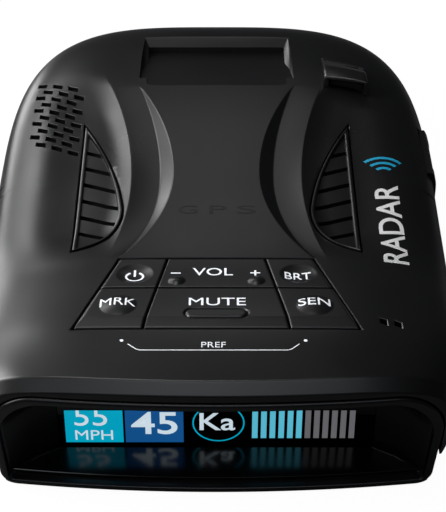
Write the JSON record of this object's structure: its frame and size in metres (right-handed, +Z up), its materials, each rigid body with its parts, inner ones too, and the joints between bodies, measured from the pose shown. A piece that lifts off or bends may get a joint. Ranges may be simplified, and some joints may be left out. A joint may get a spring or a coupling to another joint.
{
  "type": "radar detector",
  "caption": "Palm-size dashboard radar detector: tapered black case, hooded colour display, keypad, speaker grille, louvred vents and a magnetic mount pocket.",
  "frame": {"origin": "on the surface the case rests on, under the centre of its bounding box", "axes": "+Z up through the deck, +Y towards the windshield end, -Y out of the display, +X to the right of a driver who reads the display"},
  "size_m": [0.0896, 0.1305, 0.026],
  "materials": {
    "satin_black": "fine satin",
    "gloss_black": "polished, infrared-clear",
    "key_rubber": "soft satin",
    "silicone": "matt",
    "screen": "backlit colour graphics",
    "clear_plastic": "polished",
    "circuit_board": "solder resist",
    "component_black": "moulded epoxy",
    "tin_plate": "tinned",
    "die_cast_metal": "as cast",
    "ceramic": "sintered",
    "foam": "open cell",
    "plated_steel": "zinc plated",
    "flex_film": "polyimide film",
    "printed_label": "printed"
  },
  "bodies": {
    "case": {"upper_case": "satin_black", "lower_case": "satin_black", "display_bezel": "satin_black", "bay_floor_panel": "gloss_black", "display_lens": "clear_plastic", "display_gasket": "foam", "display_panel": "screen", "display_board": "circuit_board", "left_vent_louvre": "satin_black", "right_vent_louvre": "satin_black", "rear_sensor_hood": "satin_black", "rear_sensor_lens": "gloss_black", "rear_sensor_diode": "component_black", "power_switch": "component_black", "volume_switch_down": "component_black", "volume_switch_up": "component_black", "brightness_switch": "component_black", "mark_switch": "component_black", "mute_switch": "component_black", "sensitivity_switch": "component_black", "key_membrane": "silicone", "key_board": "circuit_board", "main_board": "circuit_board", "rf_shield_can": "tin_plate", "processor_chip": "component_black", "wireless_module": "tin_plate", "voice_amplifier_chip": "component_black", "power_coil": "component_black", "horn_antenna": "die_cast_metal", "gps_board": "circuit_board", "gps_patch_antenna": "ceramic", "speaker": "component_black", "speaker_gasket": "foam", "laser_sensor": "component_black", "laser_sensor_lens": "clear_plastic", "windshield_window": "gloss_black", "power_socket_surround": "satin_black", "power_socket": "component_black", "data_socket_surround": "satin_black", "data_socket": "tin_plate", "light_sensor": "component_black", "left_mount_magnet": "plated_steel", "right_mount_magnet": "plated_steel", "display_flex_cable": "flex_film", "left_board_screw": "plated_steel", "right_board_screw": "plated_steel", "front_left_case_screw": "plated_steel", "front_right_case_screw": "plated_steel", "rear_left_case_screw": "plated_steel", "rear_right_case_screw": "plated_steel", "rating_label": "printed_label"},
    "power_key": {"power_key": "key_rubber"},
    "volume_key": {"volume_key": "key_rubber"},
    "brightness_key": {"brightness_key": "key_rubber"},
    "mark_key": {"mark_key": "key_rubber"},
    "mute_key": {"mute_key": "key_rubber"},
    "sensitivity_key": {"sensitivity_key": "key_rubber"}
  },
  "joints": [
    {"name": "power_press", "type": "slide", "parent": "case", "child": "power_key", "axis": [0, -0.1378, -0.9905], "range_m": [0, 0.0005], "stiffness_N_per_m": 1200},
    {"name": "volume_rock", "type": "hinge", "parent": "case", "child": "volume_key", "pos_m": [0, -0.0312, 0.02032], "axis": [0, 0.9905, -0.1378], "range_deg": [-3.5, 3.5], "stiffness_Nm_per_rad": 0.062},
    {"name": "brightness_press", "type": "slide", "parent": "case", "child": "brightness_key", "axis": [0, -0.1378, -0.9905], "range_m": [0, 0.0005], "stiffness_N_per_m": 1200},
    {"name": "mark_press", "type": "slide", "parent": "case", "child": "mark_key", "axis": [0, -0.1378, -0.9905], "range_m": [0, 0.0005], "stiffness_N_per_m": 1200},
    {"name": "mute_press", "type": "slide", "parent": "case", "child": "mute_key", "axis": [0, -0.1378, -0.9905], "range_m": [0, 0.0005], "stiffness_N_per_m": 1200},
    {"name": "sensitivity_press", "type": "slide", "parent": "case", "child": "sensitivity_key", "axis": [0, -0.1378, -0.9905], "range_m": [0, 0.0005], "stiffness_N_per_m": 1200}
  ]
}
